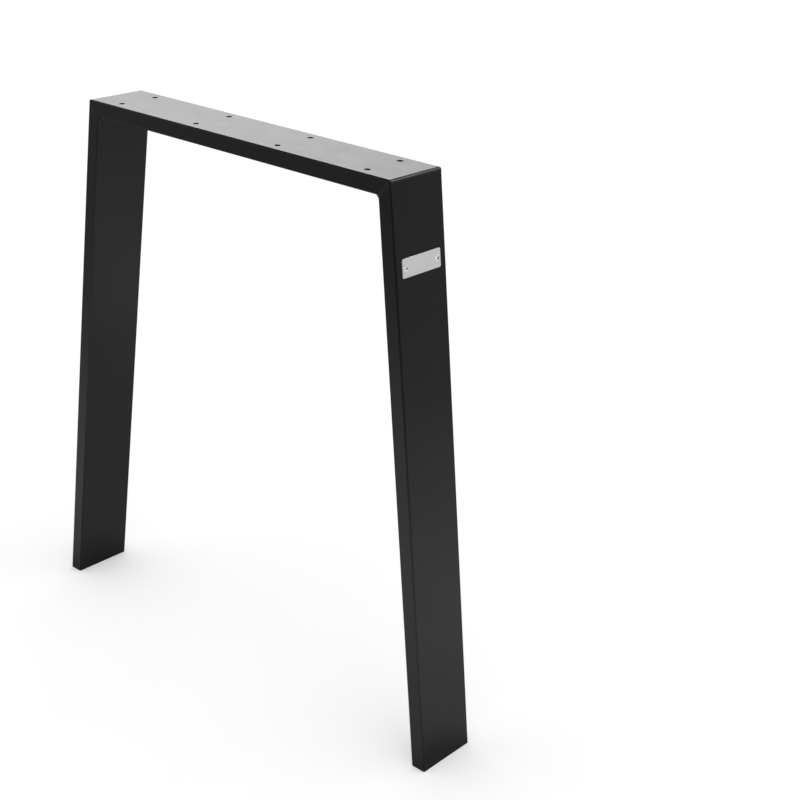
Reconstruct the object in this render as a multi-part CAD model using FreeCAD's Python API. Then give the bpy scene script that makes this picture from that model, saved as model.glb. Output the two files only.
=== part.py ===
import FreeCAD, Part
import math
import os
from FreeCAD import Placement, Rotation, Vector

# A splayed table leg frame, welded from rectangular steel tube.
# Millimetres. X runs along the top rail, Y across it, Z is up.
# The origin is on the floor, midway between the two feet.

# The frame, measured over its outer faces
HEIGHT = 720.0
TOP_LENGTH = 515.0
FOOT_SPAN = 693.0

# The rectangular tube that the rail and both legs are cut from
TUBE_DEPTH = 85.0
TUBE_THICKNESS = 20.0
TUBE_WALL = 2.0
TUBE_EDGE_RADIUS = 2.0
TUBE_BORE_RADIUS = 0.8

# Screw holes through the rail into the table top, the first ones inset from the corners
SCREW_INSET = 47.5
SCREWS_PER_ROW = 4
SCREW_ROW_SPACING = 54.0
SCREW_HOLE = 7.5
DRIVER_HOLE = 12.0

# The mitre welds: a root between the tubes that penetrates into the bore,
# a cap on the faces, and a fillet in the inner corner
WELD_ROOT = 1.6
WELD_PENETRATION = 2.5
WELD_CAP_WIDTH = 4.0
WELD_CAP_HEIGHT = 0.3
WELD_FILLET_RADIUS = 6.0
GROUND_CORNER_RADIUS = 4.0

# The plates that close the feet
FOOT_PLATE = 3.0
FOOT_EDGE_BEVEL = 0.5

# The badge plate on the outer face of the right leg
BADGE_WIDTH = 64.0
BADGE_HEIGHT = 22.0
BADGE_THICKNESS = 1.0
BADGE_CORNER_RADIUS = 2.0
BADGE_RIM_BEVEL = 0.3
BADGE_DROP = 99.5

# The blind rivets that hold the badge
RIVET_SPACING = 53.0
RIVET_SHANK = 3.2
RIVET_HEAD = 6.5
RIVET_HEAD_HEIGHT = 1.0
RIVET_BULB = 4.8
RIVET_BULB_LENGTH = 2.4
RIVET_CLEARANCE = 0.1
MANDREL = 1.8
MANDREL_HEAD = 3.0
MANDREL_HEAD_LENGTH = 1.6
MANDREL_RECESS = 0.3

# Longer than any piece, for prisms that are trimmed afterwards
REACH = 2.0 * (HEIGHT + FOOT_SPAN)

SPLAY = math.atan2((FOOT_SPAN - TOP_LENGTH) / 2.0, HEIGHT)
DOWN_LEG = Vector(math.sin(SPLAY), 0, -math.cos(SPLAY))
OUT_OF_LEG = Vector(math.cos(SPLAY), 0, math.sin(SPLAY))
ALONG_Y = Vector(0, 1, 0)
UP = Vector(0, 0, 1)

# The right-hand corner, seen from the front
OUTER_CORNER = Vector(TOP_LENGTH / 2.0, 0, HEIGHT)
INNER_CORNER = Vector(
    TOP_LENGTH / 2.0 + TUBE_THICKNESS * (math.tan(SPLAY) - 1.0 / math.cos(SPLAY)),
    0,
    HEIGHT - TUBE_THICKNESS,
)
ALONG_MITRE = (OUTER_CORNER - INNER_CORNER).normalize()
ACROSS_MITRE = Vector(ALONG_MITRE.z, 0, -ALONG_MITRE.x)


def bar(thickness, depth, radius):
    """A long straight bar along Z with rounded long edges, centred on the origin."""
    corner = Vector(-thickness / 2.0, -depth / 2.0, -REACH / 2.0)
    block = Part.makeBox(thickness, depth, REACH, corner)
    long_edges = [edge for edge in block.Edges if edge.Length > REACH / 2.0]
    return block.makeFillet(radius, long_edges)


def outer_bar():
    """The outside of the tube."""
    return bar(TUBE_THICKNESS, TUBE_DEPTH, TUBE_EDGE_RADIUS)


def bore_bar():
    """The space inside the tube."""
    return bar(TUBE_THICKNESS - 2.0 * TUBE_WALL, TUBE_DEPTH - 2.0 * TUBE_WALL, TUBE_BORE_RADIUS)


def along_rail(shape):
    """Lays a bar along the top rail."""
    centre = Vector(0, 0, HEIGHT - TUBE_THICKNESS / 2.0)
    shape.Placement = Placement(centre, Rotation(ALONG_Y, 90.0))
    return shape


def along_right_leg(shape):
    """Lays a bar along the right leg."""
    centre = OUTER_CORNER - OUT_OF_LEG * (TUBE_THICKNESS / 2.0)
    shape.Placement = Placement(centre, Rotation(ALONG_Y, 180.0 - math.degrees(SPLAY)))
    return shape


def trim(shape, point, direction):
    """Cuts away what lies past a plane, on the side that direction points to."""
    tool = Part.makeBox(REACH, REACH, REACH, Vector(-REACH / 2.0, -REACH / 2.0, 0))
    tool.Placement = Placement(point, Rotation(UP, direction))
    return shape.cut(tool)


def mirrored(shape):
    """The same piece at the other end of the frame."""
    return shape.mirror(Vector(0, 0, 0), Vector(1, 0, 0))


def trim_both_ends(shape, point, direction):
    """Trims a piece at the right-hand corner and, mirrored, at the left-hand one."""
    return mirrored(trim(mirrored(trim(shape, point, direction)), point, direction))


def frame_outline():
    """The front view of the whole frame, with its two ground corners, as a thick slab."""
    half_top = TOP_LENGTH / 2.0
    half_foot = FOOT_SPAN / 2.0
    points = [
        Vector(-half_foot, -TUBE_DEPTH / 2.0, 0),
        Vector(-half_top, -TUBE_DEPTH / 2.0, HEIGHT),
        Vector(half_top, -TUBE_DEPTH / 2.0, HEIGHT),
        Vector(half_foot, -TUBE_DEPTH / 2.0, 0),
    ]
    face = Part.Face(Part.makePolygon(points + points[:1]))
    slab = face.extrude(ALONG_Y * TUBE_DEPTH)
    top_corners = [
        edge
        for edge in slab.Edges
        if edge.Vertexes[0].Z > HEIGHT / 2.0
        and abs(edge.Vertexes[0].X - edge.Vertexes[1].X) < TUBE_WALL
        and abs(edge.Vertexes[0].Z - edge.Vertexes[1].Z) < TUBE_WALL
    ]
    return slab.makeFillet(GROUND_CORNER_RADIUS, top_corners)


def hollow(outer, bore):
    """A tube piece, ground to the rounded corners of the frame."""
    return outer.cut(bore).common(frame_outline())


def screw_places():
    """The centres of the screw holes, seen from above."""
    first = SCREW_INSET - TOP_LENGTH / 2.0
    pitch = -2.0 * first / (SCREWS_PER_ROW - 1)
    rows = (-SCREW_ROW_SPACING / 2.0, SCREW_ROW_SPACING / 2.0)
    return [(first + pitch * i, y) for i in range(SCREWS_PER_ROW) for y in rows]


def top_rail():
    """Mitred tube with screw holes above and wider holes for the driver below."""
    edge_of_weld = OUTER_CORNER - ACROSS_MITRE * (WELD_ROOT / 2.0)
    outer = trim_both_ends(along_rail(outer_bar()), edge_of_weld, ACROSS_MITRE)
    rail = hollow(outer, along_rail(bore_bar()))
    for x, y in screw_places():
        middle = Vector(x, y, HEIGHT - TUBE_THICKNESS / 2.0)
        screw_hole = Part.makeCylinder(SCREW_HOLE / 2.0, TUBE_THICKNESS, middle, UP)
        driver_hole = Part.makeCylinder(DRIVER_HOLE / 2.0, TUBE_THICKNESS, middle, -UP)
        rail = rail.cut(screw_hole).cut(driver_hole)
    return rail


def right_leg():
    """Mitred tube, cut level above the foot plate."""
    edge_of_weld = OUTER_CORNER + ACROSS_MITRE * (WELD_ROOT / 2.0)
    outer = trim(along_right_leg(outer_bar()), edge_of_weld, -ACROSS_MITRE)
    outer = trim(outer, UP * FOOT_PLATE, -UP)
    return hollow(outer, along_right_leg(bore_bar()))


def corner_bend(make_bar):
    """One bar of the rail and one of the leg, joined at the mitre."""
    rail_part = trim(along_rail(make_bar()), OUTER_CORNER, ACROSS_MITRE)
    leg_part = trim(along_right_leg(make_bar()), OUTER_CORNER, -ACROSS_MITRE)
    return rail_part.fuse(leg_part)


def weld_root():
    """The ring of weld metal between the two cut ends."""
    ring = hollow(corner_bend(outer_bar), corner_bend(bore_bar))
    ring = trim(ring, OUTER_CORNER + ACROSS_MITRE * (WELD_ROOT / 2.0), ACROSS_MITRE)
    return trim(ring, OUTER_CORNER - ACROSS_MITRE * (WELD_ROOT / 2.0), -ACROSS_MITRE)


def weld_penetration():
    """The bead that penetrates the outer corner and backs it up inside the bore."""
    bore_corner = OUTER_CORNER + (INNER_CORNER - OUTER_CORNER) * (TUBE_WALL / TUBE_THICKNESS)
    flat = TUBE_DEPTH - 2.0 * (TUBE_WALL + TUBE_BORE_RADIUS)
    start = bore_corner - ALONG_Y * (flat / 2.0)
    round_bead = Part.makeCylinder(WELD_PENETRATION, flat, start, ALONG_Y)
    return round_bead.common(corner_bend(bore_bar))


def weld_cap(side):
    """The low crown left on a flat face, front (side -1) or back (side +1)."""
    sagitta_radius = (WELD_CAP_WIDTH ** 2 / 4.0 + WELD_CAP_HEIGHT ** 2) / (2.0 * WELD_CAP_HEIGHT)
    face_y = side * TUBE_DEPTH / 2.0
    axis_y = face_y + side * (WELD_CAP_HEIGHT - sagitta_radius)
    clear_of_edges = ALONG_MITRE * TUBE_EDGE_RADIUS * 1.5
    start = INNER_CORNER + clear_of_edges + ALONG_Y * axis_y
    length = (OUTER_CORNER - INNER_CORNER).Length - 2.0 * clear_of_edges.Length
    crown = Part.makeCylinder(sagitta_radius, length, start, ALONG_MITRE)
    return trim(crown, ALONG_Y * face_y, ALONG_Y * -side)


def weld_fillet():
    """The bead in the inner corner, between the rail and the leg."""
    tangent = WELD_FILLET_RADIUS * math.tan(math.pi / 4.0 - SPLAY / 2.0)
    on_rail = INNER_CORNER - Vector(tangent, 0, 0)
    on_leg = INNER_CORNER + DOWN_LEG * tangent
    centre = on_rail - UP * WELD_FILLET_RADIUS
    towards_corner = (INNER_CORNER - centre).normalize()
    arc = Part.Arc(on_rail, centre + towards_corner * WELD_FILLET_RADIUS, on_leg).toShape()
    sides = [Part.makeLine(on_leg, INNER_CORNER), Part.makeLine(INNER_CORNER, on_rail)]
    face = Part.Face(Part.Wire([arc] + sides))
    flat = TUBE_DEPTH - 2.0 * TUBE_EDGE_RADIUS
    face.translate(ALONG_Y * (-flat / 2.0))
    return face.extrude(ALONG_Y * flat)


def right_corner_weld():
    """All the weld metal at one corner."""
    parts = [weld_penetration(), weld_cap(-1), weld_cap(1), weld_fillet()]
    return weld_root().fuse(parts).removeSplitter()


def right_foot_plate():
    """Closes the foot, flush with the tube, with its lower edge bevelled."""
    plate = trim(along_right_leg(outer_bar()), UP * FOOT_PLATE, UP)
    plate = trim(plate, Vector(0, 0, 0), -UP)
    lower_edges = [edge for edge in plate.Edges if edge.BoundBox.ZMax < FOOT_PLATE / 2.0]
    return plate.makeChamfer(FOOT_EDGE_BEVEL, lower_edges)


def on_badge_place(shape):
    """Moves a shape made at the origin, with +Z outwards, onto the right leg's outer face."""
    centre = OUTER_CORNER + DOWN_LEG * BADGE_DROP
    place = Placement(centre, Rotation(ALONG_Y, 90.0 - math.degrees(SPLAY)))
    shape.Placement = place * shape.Placement
    return shape


def rivet_places():
    """The rivets' places along the badge."""
    return (-RIVET_SPACING / 2.0, RIVET_SPACING / 2.0)


def rivet_hole(y):
    """A bore for a rivet shank, through badge and wall alike."""
    depth = TUBE_THICKNESS / 2.0
    bore = Part.makeCylinder(RIVET_SHANK / 2.0 + RIVET_CLEARANCE, 2.0 * depth, Vector(0, y, -depth), UP)
    return on_badge_place(bore)


def badge_plate():
    """A plain plate with rounded corners and a bevelled rim."""
    corner = Vector(-BADGE_HEIGHT / 2.0, -BADGE_WIDTH / 2.0, 0)
    plate = Part.makeBox(BADGE_HEIGHT, BADGE_WIDTH, BADGE_THICKNESS, corner)
    upright = [e for e in plate.Edges if abs(e.Vertexes[0].Z - e.Vertexes[1].Z) > BADGE_THICKNESS / 2.0]
    plate = plate.makeFillet(BADGE_CORNER_RADIUS, upright)
    rim = [edge for edge in plate.Edges if edge.BoundBox.ZMin > BADGE_THICKNESS / 2.0]
    return on_badge_place(plate.makeChamfer(BADGE_RIM_BEVEL, rim))


def rivet_body(y):
    """A set blind rivet: domed head, hollow shank, and a bulb behind the tube wall."""
    head_radius = RIVET_HEAD / 2.0
    shank_radius = RIVET_SHANK / 2.0
    bulb_radius = RIVET_BULB / 2.0
    bore_radius = MANDREL / 2.0
    seat = BADGE_THICKNESS
    crown = seat + RIVET_HEAD_HEIGHT
    wall_back = -TUBE_WALL
    belly = wall_back - RIVET_BULB_LENGTH / 3.0
    tail = wall_back - RIVET_BULB_LENGTH
    rim = seat + RIVET_HEAD_HEIGHT * 0.2
    shoulder = Vector(head_radius * 0.72, 0, seat + RIVET_HEAD_HEIGHT * 0.74)
    profile = Part.Wire([
        Part.makeLine(Vector(bore_radius, 0, tail), Vector(bore_radius, 0, crown)),
        Part.Arc(Vector(bore_radius, 0, crown), shoulder, Vector(head_radius, 0, rim)).toShape(),
        Part.makeLine(Vector(head_radius, 0, rim), Vector(head_radius, 0, seat)),
        Part.makeLine(Vector(head_radius, 0, seat), Vector(shank_radius, 0, seat)),
        Part.makeLine(Vector(shank_radius, 0, seat), Vector(shank_radius, 0, wall_back)),
        Part.makeLine(Vector(shank_radius, 0, wall_back), Vector(bulb_radius, 0, belly)),
        Part.makeLine(Vector(bulb_radius, 0, belly), Vector(shank_radius, 0, tail)),
        Part.makeLine(Vector(shank_radius, 0, tail), Vector(bore_radius, 0, tail)),
    ])
    body = Part.Face(profile).revolve(Vector(0, 0, 0), UP, 360)
    body.translate(ALONG_Y * y)
    return on_badge_place(body)


def rivet_mandrel(y):
    """The broken-off pin left inside a set blind rivet."""
    tail = -TUBE_WALL - RIVET_BULB_LENGTH
    top = BADGE_THICKNESS + RIVET_HEAD_HEIGHT - MANDREL_RECESS
    stem = Part.makeCylinder(MANDREL / 2.0, top - tail, Vector(0, y, tail), UP)
    head = Part.makeCylinder(MANDREL_HEAD / 2.0, MANDREL_HEAD_LENGTH, Vector(0, y, tail), -UP)
    return on_badge_place(stem.fuse(head).removeSplitter())


def build():
    """Every piece by the name of its node."""
    leg = right_leg()
    weld = right_corner_weld()
    plate = right_foot_plate()
    badge = badge_plate()
    pieces = {
        "top_rail": top_rail(),
        "leg_left": mirrored(leg),
        "corner_weld_left": mirrored(weld),
        "corner_weld_right": weld,
        "foot_plate_left": mirrored(plate),
        "foot_plate_right": plate,
    }
    for side, y in zip(("front", "back"), rivet_places()):
        leg = leg.cut(rivet_hole(y))
        badge = badge.cut(rivet_hole(y))
        pieces["badge_rivet_" + side] = rivet_body(y)
        pieces["rivet_mandrel_" + side] = rivet_mandrel(y)
    pieces["leg_right"] = leg
    pieces["badge_plate"] = badge
    return pieces


def main():
    """Writes one STEP file for each piece."""
    os.makedirs("parts", exist_ok=True)
    for name, shape in sorted(build().items()):
        solids = shape.Solids
        piece = solids[0] if len(solids) == 1 else Part.makeCompound(solids)
        piece.exportStep(os.path.join("parts", name + ".step"))
        box = piece.BoundBox
        print(
            f"{name}: {len(solids)} solid, {piece.Volume:.0f} mm3, valid {piece.isValid()}, "
            f"x {box.XMin:.2f} to {box.XMax:.2f}, y {box.YMin:.2f} to {box.YMax:.2f}, "
            f"z {box.ZMin:.2f} to {box.ZMax:.2f}"
        )


main()
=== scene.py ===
# %% [markdown]
# # Dressing a welded table leg frame
#
# The real object is one leg frame of a table. It is welded from flat
# rectangular steel tube, coated satin black, and carries a small bare
# aluminium plate on the outside of one leg. This lesson adds what the CAD
# model leaves out: the finishes, the rippled weld beads, the light and the
# camera.

# %% Load the frame
import math

import bmesh
import bpy
from mathutils import Matrix, Vector


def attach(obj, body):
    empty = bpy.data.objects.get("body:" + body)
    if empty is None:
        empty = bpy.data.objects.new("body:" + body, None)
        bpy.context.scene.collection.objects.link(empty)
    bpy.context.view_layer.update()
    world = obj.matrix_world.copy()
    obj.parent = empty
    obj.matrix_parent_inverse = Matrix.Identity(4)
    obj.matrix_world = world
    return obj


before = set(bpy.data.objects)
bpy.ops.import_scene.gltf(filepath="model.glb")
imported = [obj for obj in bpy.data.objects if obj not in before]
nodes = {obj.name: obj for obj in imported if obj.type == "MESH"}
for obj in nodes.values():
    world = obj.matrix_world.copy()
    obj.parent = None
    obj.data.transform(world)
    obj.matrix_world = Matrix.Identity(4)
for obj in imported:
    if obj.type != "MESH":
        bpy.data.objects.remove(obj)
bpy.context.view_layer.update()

print("CAD pieces:", ", ".join(sorted(nodes)))

# %% [markdown]
# ## Helpers for shader nodes
#
# A Blender material is a small graph of nodes. Each node has properties, such
# as an operation, and input sockets, which take either a number or a link
# from another node. The first helper below sets all three in one call, so
# that each finish further down reads as a short recipe. A noise pattern
# seldom leaves its middle range, so tones and roughness are spread over that
# range alone.

# %% Helpers: add nodes to a graph
PATTERN_LOW = 0.3
PATTERN_HIGH = 0.7


def add_node(tree, kind, inputs=None, **properties):
    """Adds a shader node. A socket given as an input value is linked."""
    node = tree.nodes.new("ShaderNode" + kind)
    for name, value in properties.items():
        setattr(node, name, value)
    for name, value in (inputs or {}).items():
        if isinstance(value, bpy.types.NodeSocket):
            tree.links.new(value, node.inputs[name])
        else:
            node.inputs[name].default_value = value
    return node


def new_material(name):
    """A material whose graph is still empty, and that graph."""
    material = bpy.data.materials.new(name)
    material.use_nodes = True
    tree = material.node_tree
    tree.nodes.clear()
    return material, tree


def stretched_position(tree, scale):
    """Object coordinates in metres, scaled along X, Y and Z."""
    coordinates = add_node(tree, "TexCoord").outputs["Object"]
    mapping = add_node(tree, "Mapping", {"Vector": coordinates, "Scale": scale})
    return mapping.outputs["Vector"]


def noise(tree, position, scale, detail=2.0):
    """A noise pattern between 0 and 1. Its grains are about 1 / scale wide."""
    inputs = {"Vector": position, "Scale": scale, "Detail": detail}
    return add_node(tree, "TexNoise", inputs).outputs["Fac"]


def between(tree, factor, low, high):
    """Maps a pattern's middle range onto low to high."""
    inputs = {
        "Value": factor,
        "From Min": PATTERN_LOW, "From Max": PATTERN_HIGH, "To Min": low, "To Max": high,
    }
    return add_node(tree, "MapRange", inputs).outputs["Result"]


def two_tones(tree, factor, dark, light):
    """A colour that wanders between two greys."""
    ramp = add_node(tree, "ValToRGB", {"Fac": factor})
    first, last = ramp.color_ramp.elements
    first.position, first.color = PATTERN_LOW, (*dark, 1.0)
    last.position, last.color = PATTERN_HIGH, (*light, 1.0)
    return ramp.outputs["Color"]


def finish_with(tree, shader):
    """Connects a shader node to the material's output."""
    add_node(tree, "OutputMaterial", {"Surface": shader.outputs[0]})


# %% [markdown]
# ## Satin black powder coat
#
# Powder coat is baked plastic about 0.08 mm thick. It is nearly black, it
# mirrors light softly, and its skin has a faint waviness called orange peel.
# An image texture could show that, but noise works at every distance and on
# every face without unwrapping. Two bumps make the skin: broad waves from the
# melted powder, and a finer grain that spreads the highlights. Over a weld the
# coat lies thicker and rougher, and shines a little more.

# %% Finish: powder coat
COAT_DARK = (0.0036, 0.0037, 0.0039)
COAT_LIGHT = (0.0052, 0.0053, 0.0056)
COAT_SPECULAR = 0.27
WELD_SPECULAR = 0.31
TONE_PATCHES = 14.0
GLOSS_PATCHES = 35.0
GLOSS_SWING = 0.01
PEEL_WAVES = 330.0
POWDER_GRAINS = 1500.0


def coat_material(name, specular, roughness, wave_height, grain_height):
    """Black coat on steel, with orange peel of the given heights in metres."""
    material, tree = new_material(name)
    position = stretched_position(tree, (1.0, 1.0, 1.0))
    patches = noise(tree, position, TONE_PATCHES, detail=3.0)
    colour = two_tones(tree, patches, COAT_DARK, COAT_LIGHT)
    shine = noise(tree, position, GLOSS_PATCHES, detail=3.0)
    gloss = between(tree, shine, roughness - GLOSS_SWING, roughness + GLOSS_SWING)
    peel = noise(tree, position, PEEL_WAVES)
    waves = add_node(tree, "Bump", {"Height": peel, "Distance": wave_height})
    grain_inputs = {
        "Height": noise(tree, position, POWDER_GRAINS),
        "Distance": grain_height,
        "Normal": waves.outputs["Normal"],
    }
    grain = add_node(tree, "Bump", grain_inputs)
    shader = add_node(tree, "BsdfPrincipled", {
        "Base Color": colour,
        "Roughness": gloss,
        "Specular IOR Level": specular,
        "Normal": grain.outputs["Normal"],
    })
    finish_with(tree, shader)
    return material


powder_coat = coat_material(
    "satin_black_coat", COAT_SPECULAR, roughness=0.29, wave_height=3e-6, grain_height=3e-7
)
weld_coat = coat_material(
    "coat_over_weld", WELD_SPECULAR, roughness=0.33, wave_height=10e-6, grain_height=2e-6
)
print("Coats:", powder_coat.name, weld_coat.name)

# %% [markdown]
# ## Brushed aluminium plate
#
# The plate is bare aluminium, brushed along its length on a belt. The belt
# leaves fine parallel scratches, which stretch a highlight across them.
# A noise pattern that is squeezed hard across the plate and hardly at all
# along it gives those scratches, in the height and in the roughness.

# %% Finish: brushed aluminium
FINE_SCRATCHES = (2600.0, 45.0, 2600.0)
BROAD_SCRATCHES = (420.0, 9.0, 420.0)
SCRATCH_DEPTH = 6e-6
PLATE_DARK = (0.76, 0.76, 0.765)
PLATE_LIGHT = (0.82, 0.82, 0.825)
PLATE_METALLIC = 0.75
PLATE_ROUGHNESS = (0.50, 0.60)


def brushed_aluminium():
    """Bare aluminium with scratches along Y."""
    material, tree = new_material("brushed_aluminium")
    fine = noise(tree, stretched_position(tree, FINE_SCRATCHES), 1.0, detail=3.0)
    broad = noise(tree, stretched_position(tree, BROAD_SCRATCHES), 1.0)
    colour = two_tones(tree, broad, PLATE_DARK, PLATE_LIGHT)
    scratches = add_node(tree, "Bump", {"Height": fine, "Distance": SCRATCH_DEPTH})
    shader = add_node(tree, "BsdfPrincipled", {
        "Base Color": colour,
        "Metallic": PLATE_METALLIC,
        "Roughness": between(tree, fine, *PLATE_ROUGHNESS),
        "Normal": scratches.outputs["Normal"],
    })
    finish_with(tree, shader)
    return material


plate_metal = brushed_aluminium()
print("Plate:", plate_metal.name)

# %% [markdown]
# ## Rivets and their broken pins
#
# A blind rivet is a soft aluminium sleeve. Its head is pressed, not polished,
# so it is satin with faint dents. The steel pin that set it snapped off
# inside the head and left a small torn end. The pin is coloured nearly black:
# painted shade for the recess it sits in.

# %% Finish: rivet metals
ROUGHNESS_SWING = 0.05


def pressed_metal(name, dark, light, roughness, grain_size, grain_height):
    """Metal with an even grain of the given size and height in metres."""
    material, tree = new_material(name)
    position = stretched_position(tree, (1.0, 1.0, 1.0))
    grain = noise(tree, position, 1.0 / grain_size, detail=3.0)
    rough = between(tree, grain, roughness - ROUGHNESS_SWING, roughness + ROUGHNESS_SWING)
    bump = add_node(tree, "Bump", {"Height": grain, "Distance": grain_height})
    shader = add_node(tree, "BsdfPrincipled", {
        "Base Color": two_tones(tree, grain, dark, light),
        "Metallic": 1.0,
        "Roughness": rough,
        "Normal": bump.outputs["Normal"],
    })
    finish_with(tree, shader)
    return material


rivet_metal = pressed_metal(
    "satin_aluminium", dark=(0.88, 0.88, 0.885), light=(0.94, 0.94, 0.945),
    roughness=0.22, grain_size=0.0006, grain_height=2e-6,
)
# Nearly black pin: painted shade of the recess round it, not the steel's own colour.
shaded_pin_metal = pressed_metal(
    "snapped_steel_painted_shade", dark=(0.008, 0.008, 0.009), light=(0.02, 0.02, 0.021),
    roughness=0.45, grain_size=0.0003, grain_height=30e-6,
)
print("Rivets:", rivet_metal.name, shaded_pin_metal.name)

# %% [markdown]
# ## Put the finishes on the CAD pieces
#
# The start of a CAD piece's name tells what it is, and picks its finish.
# Only the material slot changes: the meshes stay as they were loaded.

# %% Assign the finishes
FINISHES = {
    "corner_weld": weld_coat,
    "badge_plate": plate_metal,
    "badge_rivet": rivet_metal,
    "rivet_mandrel": shaded_pin_metal,
    "top_rail": powder_coat,
    "leg": powder_coat,
    "foot_plate": powder_coat,
}
for name, piece in nodes.items():
    start = next(key for key in FINISHES if name.startswith(key))
    piece.data.materials.clear()
    piece.data.materials.append(FINISHES[start])
    print(f"{name}: {FINISHES[start].name}")

# %% [markdown]
# ## Weld beads in the inner corners
#
# Inside each corner a welder ran a bead between the rail and the leg. A bead
# is laid drop by drop, so its face is a row of overlapping crescents.
# The CAD model has only the plain hollow fillet there. Here the bead's outline
# is drawn once, at the front, and extruded to the back in short steps. Each
# step leaves a ring of vertices, and moving the rings makes the drops.

# %% Where the corner is
THICKNESS = 0.020
HALF_TOP = 0.2575
HALF_FOOT = 0.3465
HEIGHT = 0.720

splay = math.atan2(HALF_FOOT - HALF_TOP, HEIGHT)
inner_corner = Vector((
    HALF_TOP + THICKNESS * (math.tan(splay) - 1.0 / math.cos(splay)),
    0.0,
    HEIGHT - THICKNESS,
))
along_rail = Vector((-1.0, 0.0, 0.0))
down_leg = Vector((math.sin(splay), 0.0, -math.cos(splay)))
into_room = (along_rail + down_leg).normalized()
print(f"Legs splay {math.degrees(splay):.2f} degrees, inner corner at {inner_corner[:]}")

# %% [markdown]
# The outline has three sides: two lie on the steel, and the third is an arc,
# which is the bead's face. One vertex spun about an axis deep behind the
# corner gives the arc, which is why it is so nearly flat.

# %% The bead's outline
BEAD_HALF_LENGTH = 0.0402
BEAD_LEG = 0.0056
AXIS_BEHIND_CORNER = 0.0120
ARC_STEPS = 16

bead_axis = inner_corner - into_room * AXIS_BEHIND_CORNER


def bead_outline(bead):
    """The bead's cross-section at its front end, as one face."""
    on_leg = inner_corner + down_leg * BEAD_LEG - bead_axis
    on_rail = inner_corner + along_rail * BEAD_LEG - bead_axis
    angle = math.copysign(on_leg.angle(on_rail), on_leg.cross(on_rail).y)
    toe = bead.verts.new(bead_axis + on_leg)
    bmesh.ops.spin(
        bead, geom=[toe], cent=bead_axis, axis=(0.0, 1.0, 0.0), angle=angle,
        steps=ARC_STEPS, use_merge=False, use_duplicate=False,
    )
    arc = list(bead.verts)
    corner = bead.verts.new(inner_corner)
    outline = bead.faces.new([*arc, corner])
    bmesh.ops.translate(bead, verts=bead.verts, vec=(0.0, -BEAD_HALF_LENGTH, 0.0))
    return outline


print(f"Bead {2000.0 * BEAD_HALF_LENGTH:.1f} mm long, legs of {1000.0 * BEAD_LEG:.1f} mm")

# %% [markdown]
# The drops are not all alike, because a hand laid them. Two slow waves make
# the pitch wander a little. Every drop is a crescent that bulges forwards in
# the middle, and the bead sinks away at both ends.

# %% Shape the drops
RINGS = 240
DROP_PITCH = 0.0036
DROP_DEPTH = 0.00035
CRESCENT = 110.0
SLOW_WAVE = (0.0005, 210.0, 0.0)
QUICK_WAVE = (0.0003, 517.0, 1.0)
END_TAPER = 0.0050
END_SINK = 0.0012
CORNER_MARGIN = 1.05


def wave(along, swing, frequency, start):
    """One wave of a drop's pitch along the bead, in metres."""
    return swing * math.sin(frequency * along + start)


def drop_height(along, across):
    """How far the bead's face stands off its plain arc, in metres."""
    wander = wave(along, *SLOW_WAVE) + wave(along, *QUICK_WAVE)
    phase = (along + wander + CRESCENT * across * across) / DROP_PITCH
    groove = DROP_DEPTH * (1.0 - abs(math.sin(math.pi * phase))) ** 1.5
    past = max(0.0, 1.0 - (BEAD_HALF_LENGTH - abs(along)) / END_TAPER)
    return -groove - END_SINK * (1.0 - math.sqrt(max(0.0, 1.0 - past * past)))


def press_drops(bead):
    """Moves the bead's face, which lies farther from the axis than the corner does."""
    for vertex in bead.verts:
        axis = Vector((bead_axis.x, vertex.co.y, bead_axis.z))
        outwards = vertex.co - axis
        if outwards.length > AXIS_BEHIND_CORNER * CORNER_MARGIN:
            across = outwards.cross(into_room).y
            vertex.co += outwards.normalized() * drop_height(vertex.co.y, across)


print(f"About {2.0 * BEAD_HALF_LENGTH / DROP_PITCH:.0f} drops on each bead")

# %% [markdown]
# A piece is finished by merging its doubles and turning its faces outwards,
# which matters for the mirrored bead on the left. Faces are smooth, except
# across the long edges where the bead's face meets its two flat sides.

# %% Helper: finish a piece
MERGE_DISTANCE = 1e-6
SHARP_ANGLE = math.radians(40.0)


def finished_piece(mesh_edit, name, material):
    """Turns a bmesh into a piece that rides on the frame."""
    bmesh.ops.remove_doubles(mesh_edit, verts=mesh_edit.verts, dist=MERGE_DISTANCE)
    bmesh.ops.recalc_face_normals(mesh_edit, faces=mesh_edit.faces)
    for face in mesh_edit.faces:
        face.smooth = True
    for edge in mesh_edit.edges:
        edge.smooth = edge.calc_face_angle(math.pi) < SHARP_ANGLE
    mesh = bpy.data.meshes.new(name)
    mesh_edit.to_mesh(mesh)
    mesh_edit.free()
    mesh.materials.append(material)
    piece = bpy.data.objects.new(name, mesh)
    bpy.context.scene.collection.objects.link(piece)
    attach(piece, "root")
    print(f"{name}: {len(mesh.polygons)} faces")
    return piece


# %% [markdown]
# The outline is pushed backwards ring by ring, and then its drops are pressed.
# Scaling the right bead by -1 along X gives the left one.

# %% Build both beads
def weld_bead(name, side):
    """A bead across the right (1) or left (-1) inner corner."""
    bead = bmesh.new()
    front = [bead_outline(bead)]
    step = (0.0, 2.0 * BEAD_HALF_LENGTH / RINGS, 0.0)
    for _ in range(RINGS):
        made = bmesh.ops.extrude_face_region(bead, geom=front)["geom"]
        ring = [part for part in made if isinstance(part, bmesh.types.BMVert)]
        bmesh.ops.translate(bead, verts=ring, vec=step)
        front = [part for part in made if isinstance(part, bmesh.types.BMFace)]
    press_drops(bead)
    bmesh.ops.scale(bead, verts=bead.verts, vec=(side, 1.0, 1.0))
    return finished_piece(bead, name, weld_coat)


weld_bead("corner_bead_right", 1.0)
weld_bead("corner_bead_left", -1.0)

# %% [markdown]
# ## The studio
#
# The frame stands on a pale floor under a white sky. The sky has a strength
# of 1, at which a colour looks as it is written, and it alone lights the
# floor. Light Path tells a material which kind of ray is looking at it. The
# floor adds a little white where the lens or a glossy ray sees it, so that it
# reads as white and still keeps the soft shadow of the frame.

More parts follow.
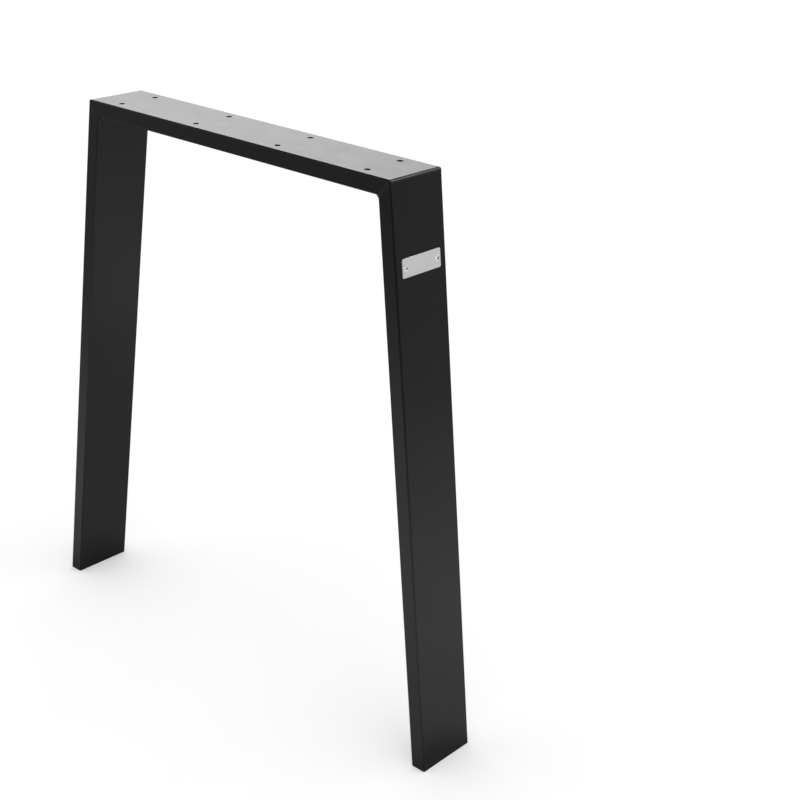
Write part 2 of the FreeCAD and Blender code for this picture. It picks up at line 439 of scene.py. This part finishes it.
# %% Floor
FLOOR_RADIUS = 14.0
FLOOR_SIDES = 128
FLOOR_LIFT = 0.25
PAPER_DARK = (0.79, 0.79, 0.79)
PAPER_LIGHT = (0.81, 0.81, 0.81)
PAPER_PATCHES = 3.0


def seen_directly(tree):
    """1 for camera, glossy and transmission rays, and 0 for diffuse light."""
    rays = add_node(tree, "LightPath").outputs
    shiny = add_node(tree, "Math", operation="MAXIMUM")
    tree.links.new(rays["Is Glossy Ray"], shiny.inputs[0])
    tree.links.new(rays["Is Transmission Ray"], shiny.inputs[1])
    seen = add_node(tree, "Math", operation="MAXIMUM")
    tree.links.new(rays["Is Camera Ray"], seen.inputs[0])
    tree.links.new(shiny.outputs[0], seen.inputs[1])
    return seen.outputs[0]


def floor_material():
    """Matt pale paper, lifted to white where it is seen."""
    material, tree = new_material("pale_floor")
    position = stretched_position(tree, (1.0, 1.0, 1.0))
    paper = two_tones(tree, noise(tree, position, PAPER_PATCHES), PAPER_DARK, PAPER_LIGHT)
    matt = add_node(tree, "BsdfDiffuse", {"Color": paper})
    lift = add_node(tree, "Math", {0: seen_directly(tree), 1: FLOOR_LIFT}, operation="MULTIPLY")
    glow = add_node(tree, "Emission", {"Strength": lift.outputs[0]})
    both = add_node(tree, "AddShader")
    tree.links.new(matt.outputs[0], both.inputs[0])
    tree.links.new(glow.outputs[0], both.inputs[1])
    finish_with(tree, both)
    return material


def staged(mesh_edit, name, material):
    """Turns a bmesh into a thing of the studio, which is no part of the object."""
    mesh = bpy.data.meshes.new(name)
    mesh_edit.to_mesh(mesh)
    mesh_edit.free()
    mesh.materials.append(material)
    thing = bpy.data.objects.new(name, mesh)
    bpy.context.scene.collection.objects.link(thing)
    return thing


floor_edit = bmesh.new()
bmesh.ops.create_circle(floor_edit, cap_ends=True, segments=FLOOR_SIDES, radius=FLOOR_RADIUS)
staged(floor_edit, "floor", floor_material())
print(f"Floor {2.0 * FLOOR_RADIUS:.0f} m across")

# %% [markdown]
# The sky is a plain white background. Its colour is set as well as its
# strength, because a Background node starts out light grey.

# %% White sky
world = bpy.data.worlds.new("white_sky")
bpy.context.scene.world = world
world.use_nodes = True
sky = world.node_tree
sky.nodes.clear()
light = add_node(sky, "Background", {"Color": (1.0, 1.0, 1.0, 1.0), "Strength": 1.0})
add_node(sky, "OutputWorld", {"Surface": light.outputs[0]})
print("Sky:", world.name)

# %% [markdown]
# ## What the black coat mirrors
#
# A black glossy thing shows little but its mirror images, so a studio is
# built around them. The next three things glow, and exist for glossy rays
# only: all other light, and the lens, pass through them. Their glow is
# painted light and shade in the coat's reflections.
#
# The first is a glowing ring round the frame, in place of a cloth. Its grey
# glow keeps the upright faces dark. It is black to the front right, a painted
# dark reflection that draws a dark line down the rounded edge of each leg.
# It glows brighter than white behind the left end, a painted highlight where
# the rail's top face mirrors it. A radial gradient gives the angle round the
# ring as a fraction, and a colour ramp turns that into a tone.

# %% A glowing ring of painted reflections
CLOTH_RADIUS = 1.55
CLOTH_HEIGHT = 0.95
CLOTH_CENTRE = (0.20, -0.10)
ROUND_SIDES = 96
PAINTED_REFLECTION_TONES = [
    (0.00, 0.40),
    (0.14, 0.36),
    (0.24, 0.05),
    (0.28, 0.02),
    (0.46, 0.02),
    (0.54, 0.30),
    (0.60, 0.44),
    (0.84, 0.36),
    (0.89, 1.20),
    (0.95, 1.20),
    (1.00, 0.40),
]


def painted_reflection_ring_material():
    """A glow whose tone changes round the circle, at the fractions in PAINTED_REFLECTION_TONES."""
    material, tree = new_material("ring_of_painted_reflections")
    place = add_node(tree, "TexCoord").outputs["Object"]
    angle = add_node(tree, "TexGradient", {"Vector": place}, gradient_type="RADIAL")
    ramp = add_node(tree, "ValToRGB", {"Fac": angle.outputs["Fac"]})
    stops = ramp.color_ramp.elements
    for fraction, _ in PAINTED_REFLECTION_TONES[1:-1]:
        stops.new(fraction)
    for stop, (_, tone) in zip(stops, PAINTED_REFLECTION_TONES):
        stop.color = (tone, tone, tone, 1.0)
    # The glow paints the reflections: dark tones are painted shade, tones above 1 a painted
    # highlight.
    finish_with(tree, add_node(tree, "Emission", {"Color": ramp.outputs["Color"]}))
    return material


def only_mirrored(thing):
    """Hides a thing from all rays but the glossy ones."""
    thing.visible_camera = False
    thing.visible_diffuse = False
    thing.visible_transmission = False
    thing.visible_shadow = False


cloth_edit = bmesh.new()
bmesh.ops.create_cone(
    cloth_edit, cap_ends=False, segments=ROUND_SIDES,
    radius1=CLOTH_RADIUS, radius2=CLOTH_RADIUS, depth=CLOTH_HEIGHT,
)
bmesh.ops.translate(cloth_edit, verts=cloth_edit.verts, vec=(*CLOTH_CENTRE, CLOTH_HEIGHT / 2.0))
only_mirrored(staged(cloth_edit, "cloth", painted_reflection_ring_material()))
print(f"Cloth ring with {len(PAINTED_REFLECTION_TONES)} tones")

# %% [markdown]
# The second is a faintly glowing dark ceiling, a painted dark reflection. The
# rounded ends of the rail turn from the bright top face to the dark legs, and
# the ceiling keeps that turn crisp.

# %% Dark ceiling for painted reflection
CEILING_HEIGHT = 1.9
CEILING_RADIUS = 2.2
CEILING_PATCHES = 2.0
CEILING_DARK = (0.02, 0.02, 0.02)
CEILING_LIGHT = (0.05, 0.05, 0.05)


def ceiling_material():
    """A dark glow for a painted dark reflection, with a faint unevenness."""
    material, tree = new_material("dark_ceiling_painted_reflection")
    patches = noise(tree, stretched_position(tree, (1.0, 1.0, 1.0)), CEILING_PATCHES)
    tone = two_tones(tree, patches, CEILING_DARK, CEILING_LIGHT)
    finish_with(tree, add_node(tree, "Emission", {"Color": tone}))
    return material


ceiling_edit = bmesh.new()
bmesh.ops.create_circle(
    ceiling_edit, cap_ends=True, segments=ROUND_SIDES, radius=CEILING_RADIUS
)
bmesh.ops.translate(ceiling_edit, verts=ceiling_edit.verts, vec=(0.0, 0.0, CEILING_HEIGHT))
only_mirrored(staged(ceiling_edit, "ceiling", ceiling_material()))
print(f"Ceiling at {CEILING_HEIGHT} m")

# %% [markdown]
# The third is a glowing mat just above the floor, for what the legs mirror
# low down: a painted reflection of the floor. It reaches past the cloth on the
# left, so that the left leg doesn't mirror a sliver of pale floor between the
# two. It paints a pool of light in front of the frame that fades outwards,
# and painted shadow under the frame and close to each foot. Each of these is
# a tone that fades with the distance from a centre, and the three are
# multiplied.

# %% Mat with a painted pool of light and painted shadow
MAT_RADIUS = 1.88
MAT_CENTRE = (-0.10, -0.45)
MAT_HEIGHT = 0.0005
# A painted pool of light, and painted shadow under the frame and at the feet.
POOL_CENTRE = (0.45, -0.30, 0.0)
POOL_REACH = (0.35, 1.70)
POOL_TONES = (1.18, 0.45)
UNDER_FRAME_SQUEEZE = (1.60, 2.70, 1.0)
UNDER_FRAME_CENTRE = (0.0, 0.27, 0.0)
UNDER_FRAME_REACH = (0.70, 1.25)
UNDER_FRAME_SHADOW_TONES = (0.60, 1.0)
FOOT_CENTRE = (0.345, 0.0, 0.0)
FOOT_REACH = (0.03, 0.09)
FOOT_SHADOW_TONES = (0.45, 1.0)


def fade(tree, place, centre, reach, tones):
    """Goes from the first tone to the second over a reach of distances from a centre."""
    distance = add_node(tree, "VectorMath", {0: place, 1: centre}, operation="DISTANCE")
    inputs = {
        "Value": distance.outputs["Value"],
        "From Min": reach[0], "From Max": reach[1], "To Min": tones[0], "To Max": tones[1],
    }
    return add_node(tree, "MapRange", inputs).outputs["Result"]


def painted_floor_reflection_material():
    """A painted pool of light that fades outwards, with painted shadow under the frame and at
    its feet.
    """
    material, tree = new_material("painted_floor_reflection")
    place = add_node(tree, "TexCoord").outputs["Object"]
    pool = fade(tree, place, POOL_CENTRE, POOL_REACH, POOL_TONES)
    # Painted shadow under the frame.
    squeezed = stretched_position(tree, UNDER_FRAME_SQUEEZE)
    shadow_under_frame = fade(
        tree, squeezed, UNDER_FRAME_CENTRE, UNDER_FRAME_REACH, UNDER_FRAME_SHADOW_TONES
    )
    # Painted contact shadow close to each foot.
    folded = add_node(tree, "VectorMath", {0: place}, operation="ABSOLUTE").outputs["Vector"]
    shadow_at_feet = fade(tree, folded, FOOT_CENTRE, FOOT_REACH, FOOT_SHADOW_TONES)
    shade = add_node(tree, "Math", {0: shadow_under_frame, 1: shadow_at_feet}, operation="MULTIPLY").outputs[0]
    tone = add_node(tree, "Math", {0: pool, 1: shade}, operation="MULTIPLY").outputs[0]
    finish_with(tree, add_node(tree, "Emission", {"Strength": tone}))
    return material


mat_edit = bmesh.new()
bmesh.ops.create_circle(mat_edit, cap_ends=True, segments=ROUND_SIDES, radius=MAT_RADIUS)
bmesh.ops.translate(mat_edit, verts=mat_edit.verts, vec=(*MAT_CENTRE, MAT_HEIGHT))
only_mirrored(staged(mat_edit, "mat", painted_floor_reflection_material()))
print(f"Mat {2.0 * MAT_RADIUS} m across")

# %% [markdown]
# ## Lamps
#
# The lamps are for gloss alone: the sky gives the rest of the light.
# The main one is a large soft panel, low behind the left end of the frame.
# It lies where the rail's top face mirrors it, as seen from the camera, and
# turns black coat into a light, silky grey. A narrow strip draws the fine
# light line along the rounded right end. A small spot to the right puts the
# bright point on each rivet head.

# %% Lamps
def panel(name, place, aim, size, radiance):
    """A rectangular lamp whose face glows at the given radiance, aimed at a point."""
    lamp = bpy.data.lights.new(name, "AREA")
    lamp.shape = "RECTANGLE"
    lamp.size, lamp.size_y = size
    lamp.energy = radiance * math.pi * size[0] * size[1]
    thing = bpy.data.objects.new(name, lamp)
    bpy.context.scene.collection.objects.link(thing)
    facing = (Vector(aim) - Vector(place)).to_track_quat("-Z", "Y")
    thing.matrix_world = Matrix.Translation(place) @ facing.to_matrix().to_4x4()
    thing.visible_camera = False
    thing.visible_diffuse = False
    print(f"{name}: {lamp.energy:.1f} W")


MIDDLE = (0.0, 0.0, 0.45)
RIGHT_END = (0.26, 0.0, 0.72)
PLATE = (0.27, 0.0, 0.62)
panel("panel_behind_left", (-2.70, 1.56, 1.60), MIDDLE, size=(3.1, 1.6), radiance=2.3)
panel("strip_behind_right", (0.62, 1.30, 1.87), RIGHT_END, size=(0.9, 0.05), radiance=46.0)
panel("spot_right", (1.65, -0.32, 0.80), PLATE, size=(0.30, 0.30), radiance=7.0)

# %% [markdown]
# ## The camera
#
# The camera stands to the right of the frame's front and looks down on it.
# Its place was worked out from the edges and screw holes in the photograph:
# turn, height, distance, aim and a slight roll. The lens shift puts the
# object where the photograph has it, without turning the camera.

# %% Camera
TURN = math.radians(42.84)
RISE = math.radians(22.99)
ROLL = math.radians(1.43)
DISTANCE = 1.8164
AIM = Vector((0.1519, 0.0, 0.4458))
FOCAL_PIXELS = 1518.5
CENTRE_PIXEL = (340.0, 379.1)
PICTURE = 800.0
SENSOR_WIDTH = 36.0
FARTHEST_SEEN = 100.0

towards_lens = Vector((
    math.sin(TURN) * math.cos(RISE),
    -math.cos(TURN) * math.cos(RISE),
    math.sin(RISE),
))
lens = bpy.data.cameras.new("camera")
lens.sensor_width = SENSOR_WIDTH
lens.lens = SENSOR_WIDTH * FOCAL_PIXELS / PICTURE
lens.shift_x = 0.5 - CENTRE_PIXEL[0] / PICTURE
lens.shift_y = CENTRE_PIXEL[1] / PICTURE - 0.5
lens.clip_end = FARTHEST_SEEN
camera = bpy.data.objects.new("camera", lens)
bpy.context.scene.collection.objects.link(camera)
upright = towards_lens.to_track_quat("Z", "Y").to_matrix().to_4x4()
camera.matrix_world = (
    Matrix.Translation(AIM + towards_lens * DISTANCE) @ upright @ Matrix.Rotation(ROLL, 4, "Z")
)
bpy.context.scene.camera = camera
print(f"Lens {lens.lens:.1f} mm, camera at {camera.location[:]}")

# %% [markdown]
# ## Finish
#
# The Standard view shows colours as they are written.

# %% Finish
bpy.context.scene.view_settings.view_transform = "Standard"
